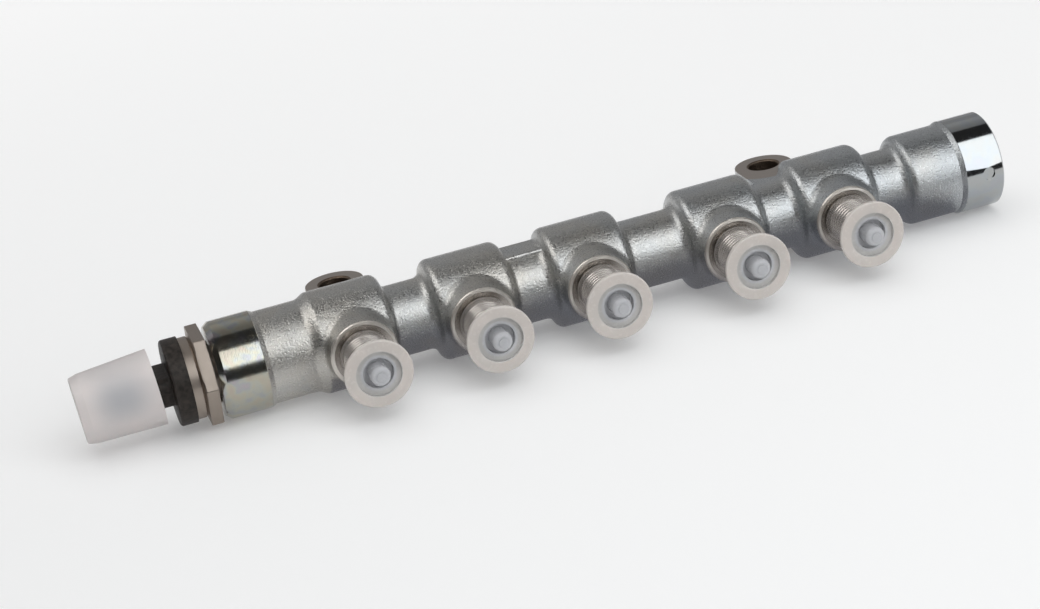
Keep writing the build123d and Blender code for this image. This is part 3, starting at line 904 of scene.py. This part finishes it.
def place_rows(rows, distance):
    """Rows of points in these directions, at one distance from the object's middle."""
    middle = Vector((0, rail_axis.y, rail_axis.z))
    return [[middle + distance * direction(*place) for place in row] for row in rows]


def sweep(azimuths, elevations):
    """Rows of directions, one row for each elevation."""
    return [[(azimuth, elevation) for azimuth in azimuths] for elevation in elevations]


def stage_panel(name, grid, colour, strength=1.0):
    """Glowing panel through rows of points, which the camera doesn't see."""
    material = bpy.data.materials.new(name)
    material.use_nodes = True
    nodes = material.node_tree.nodes
    nodes.clear()
    glow = nodes.new("ShaderNodeEmission")
    glow.inputs["Color"].default_value = rgba(colour)
    glow.inputs["Strength"].default_value = strength
    out = nodes.new("ShaderNodeOutputMaterial")
    material.node_tree.links.new(glow.outputs[0], out.inputs[0])
    mesh = bpy.data.meshes.new(name)
    across = len(grid[0])
    points = [point for row in grid for point in row]
    faces = []
    for row in range(len(grid) - 1):
        for column in range(across - 1):
            first = row * across + column
            faces.append((first, first + 1, first + across + 1, first + across))
    mesh.from_pydata(points, [], faces)
    mesh.materials.append(material)
    panel = add_object(name, mesh)
    panel.visible_camera = False
    return panel


def make_flag(name, grid, colour=flag_colour):
    """Panel that shades reflections and takes no light from the object."""
    flag = stage_panel(name, grid, colour)
    flag.visible_diffuse = False
    flag.visible_transmission = False
    flag.visible_shadow = False


stage_panel(
    "softbox", place_rows(softbox_corners, light_distance), softbox_colour, softbox_strength
)
side_light = stage_panel(
    "side light",
    place_rows(sweep(side_light_azimuths, side_light_elevations), light_distance),
    side_light_colour,
    side_light_strength,
)
side_light.visible_diffuse = False
make_flag(
    "front flag", place_rows(sweep(front_flag_azimuths, front_flag_elevations), flag_distance)
)
make_flag(
    "left flag", place_rows(sweep(left_flag_azimuths, left_flag_elevations), flag_distance)
)
canopy_sides = (-canopy_half_width, canopy_half_width)
make_flag(
    "canopy",
    [
        [(x, canopy_front, canopy_height) for x in canopy_sides],
        [(x, y, canopy_height) for x, y in zip(canopy_sides, canopy_backs)],
    ],
)
make_flag(
    "back flag",
    place_rows(sweep(back_flag_azimuths, back_flag_elevations), flag_distance),
    back_flag_colour,
)
low_flag_sides = (-low_flag_half_length, low_flag_half_length)
make_flag(
    "low flag",
    [
        [(x, low_flag_y, z) for x, z in zip(low_flag_sides, heights)]
        for heights in (low_flag_bottoms, low_flag_tops)
    ],
)
# Painted shade under the rail, as reflections see the floor there
make_flag(
    "under flag",
    [[(x, y, under_flag_z) for x in under_flag_x] for y in under_flag_y],
    under_flag_colour,
)


def floor_material():
    """Matt floor, lifted to white by distance where it is seen and not where it gives light."""
    material, wires, shader = new_material("floor")
    shader.inputs["Base Color"].default_value = rgba(floor_colour)
    shader.inputs["Roughness"].default_value = floor_rough
    shader.inputs["Specular IOR Level"].default_value = floor_specular
    ray = wires.node("ShaderNodeLightPath").outputs
    seen = wires.math("ADD", ray["Is Camera Ray"], ray["Is Glossy Ray"])
    seen = wires.math("ADD", seen, ray["Is Transmission Ray"], clamp=True)
    away = wires.object_place()[2]
    glow = wires.map_range(away, floor_near, floor_far, floor_lift_near, floor_lift_far)
    lift = wires.mix_colour(wires.math("MULTIPLY", seen, glow), (0, 0, 0), (1, 1, 1))
    wires.join(lift, shader.inputs["Emission Color"])
    shader.inputs["Emission Strength"].default_value = 1.0
    return material


def make_floor():
    mesh = bpy.data.meshes.new("floor")
    half = floor_size / 2
    floor_z = cad_box[0][2]
    corners = ((-half, -half), (half, -half), (half, half), (-half, half))
    mesh.from_pydata([(x, y, floor_z) for x, y in corners], [], [(0, 1, 2, 3)])
    mesh.materials.append(floor_material())
    return add_object("floor", mesh)


floor = make_floor()


def soft_light(name, size, power, place):
    """Square area light towards the origin that leaves no reflection of its own."""
    data = bpy.data.lights.new(name, "AREA")
    data.shape = "SQUARE"
    data.size = size
    data.energy = power
    light = add_object(name, data)
    turn = (-Vector(place)).to_track_quat("-Z", "Y").to_matrix().to_4x4()
    light.matrix_world = Matrix.Translation(place) @ turn
    light.visible_glossy = False
    light.visible_camera = False


soft_light("overhead", overhead_size, overhead_power, overhead_place)
soft_light("fill", fill_size, fill_power, fill_place)


def make_world():
    """Plain sky that gets darker with height."""
    world = bpy.data.worlds.new("studio")
    world.use_nodes = True
    wires = Wiring(world.node_tree)
    towards = wires.node("ShaderNodeTexCoord").outputs["Generated"]
    height = wires.separate(towards)[2]
    sky = wires.ramp(height, [(position, (level,) * 3) for position, level in world_levels])
    wires.join(sky, world.node_tree.nodes["Background"].inputs["Color"])
    return world


def make_camera():
    data = bpy.data.cameras.new("camera")
    data.sensor_fit = "HORIZONTAL"
    data.sensor_width = sensor_width
    data.lens = camera_lens
    data.clip_start, data.clip_end = camera_clip
    camera = add_object("camera", data)
    camera.matrix_world = (
        Matrix.Translation(camera_place)
        @ Matrix.Rotation(math.radians(-camera_azimuth), 4, "Z")
        @ Matrix.Rotation(math.radians(90 + camera_pitch), 4, "X")
        @ Matrix.Rotation(math.radians(camera_roll), 4, "Z")
    )
    return camera


for name in ("Cube", "Light", "Camera"):
    if name in bpy.data.objects:
        bpy.data.objects.remove(bpy.data.objects[name])

bpy.context.scene.world = make_world()
bpy.context.scene.camera = make_camera()
bpy.context.scene.view_settings.view_transform = "Standard"
